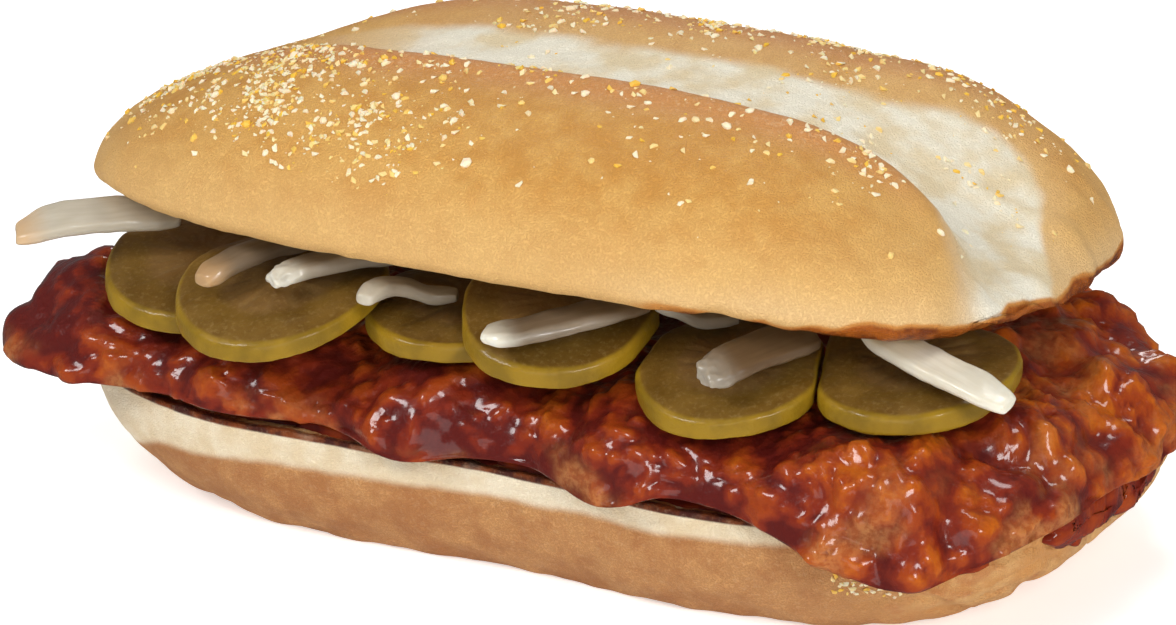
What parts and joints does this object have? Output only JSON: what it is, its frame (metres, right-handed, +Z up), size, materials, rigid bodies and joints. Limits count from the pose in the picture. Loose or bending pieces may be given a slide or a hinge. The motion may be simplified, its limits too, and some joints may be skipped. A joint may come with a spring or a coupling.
{
  "type": "barbecue pork sandwich",
  "caption": "Barbecue pork sandwich: a ribbed, formed pork patty in glossy sauce with pickle slices and onion slivers, in a split and scored roll topped with cornmeal.",
  "frame": {"origin": "centre of the bounding box at the heel's flat underside", "axes": "+X along the roll, to the end where the score runs down; -Y towards the side where the filling shows; +Z up"},
  "size_m": [0.1432, 0.0866, 0.0586],
  "materials": {
    "crust": "matt golden crust",
    "glazed_pork": "wet glaze",
    "pickle": "wet",
    "onion": "moist, slightly clear"
  },
  "bodies": {
    "root": {"roll_heel": "crust", "roll_crown": "crust", "pork_patty": "glazed_pork", "pickle_1": "pickle", "pickle_2": "pickle", "pickle_3": "pickle", "pickle_4": "pickle", "pickle_5": "pickle", "pickle_6": "pickle", "onion_1": "onion", "onion_2": "onion", "onion_3": "onion", "onion_4": "onion", "onion_5": "onion", "onion_6": "onion", "onion_7": "onion", "onion_8": "onion"}
  },
  "joints": []
}
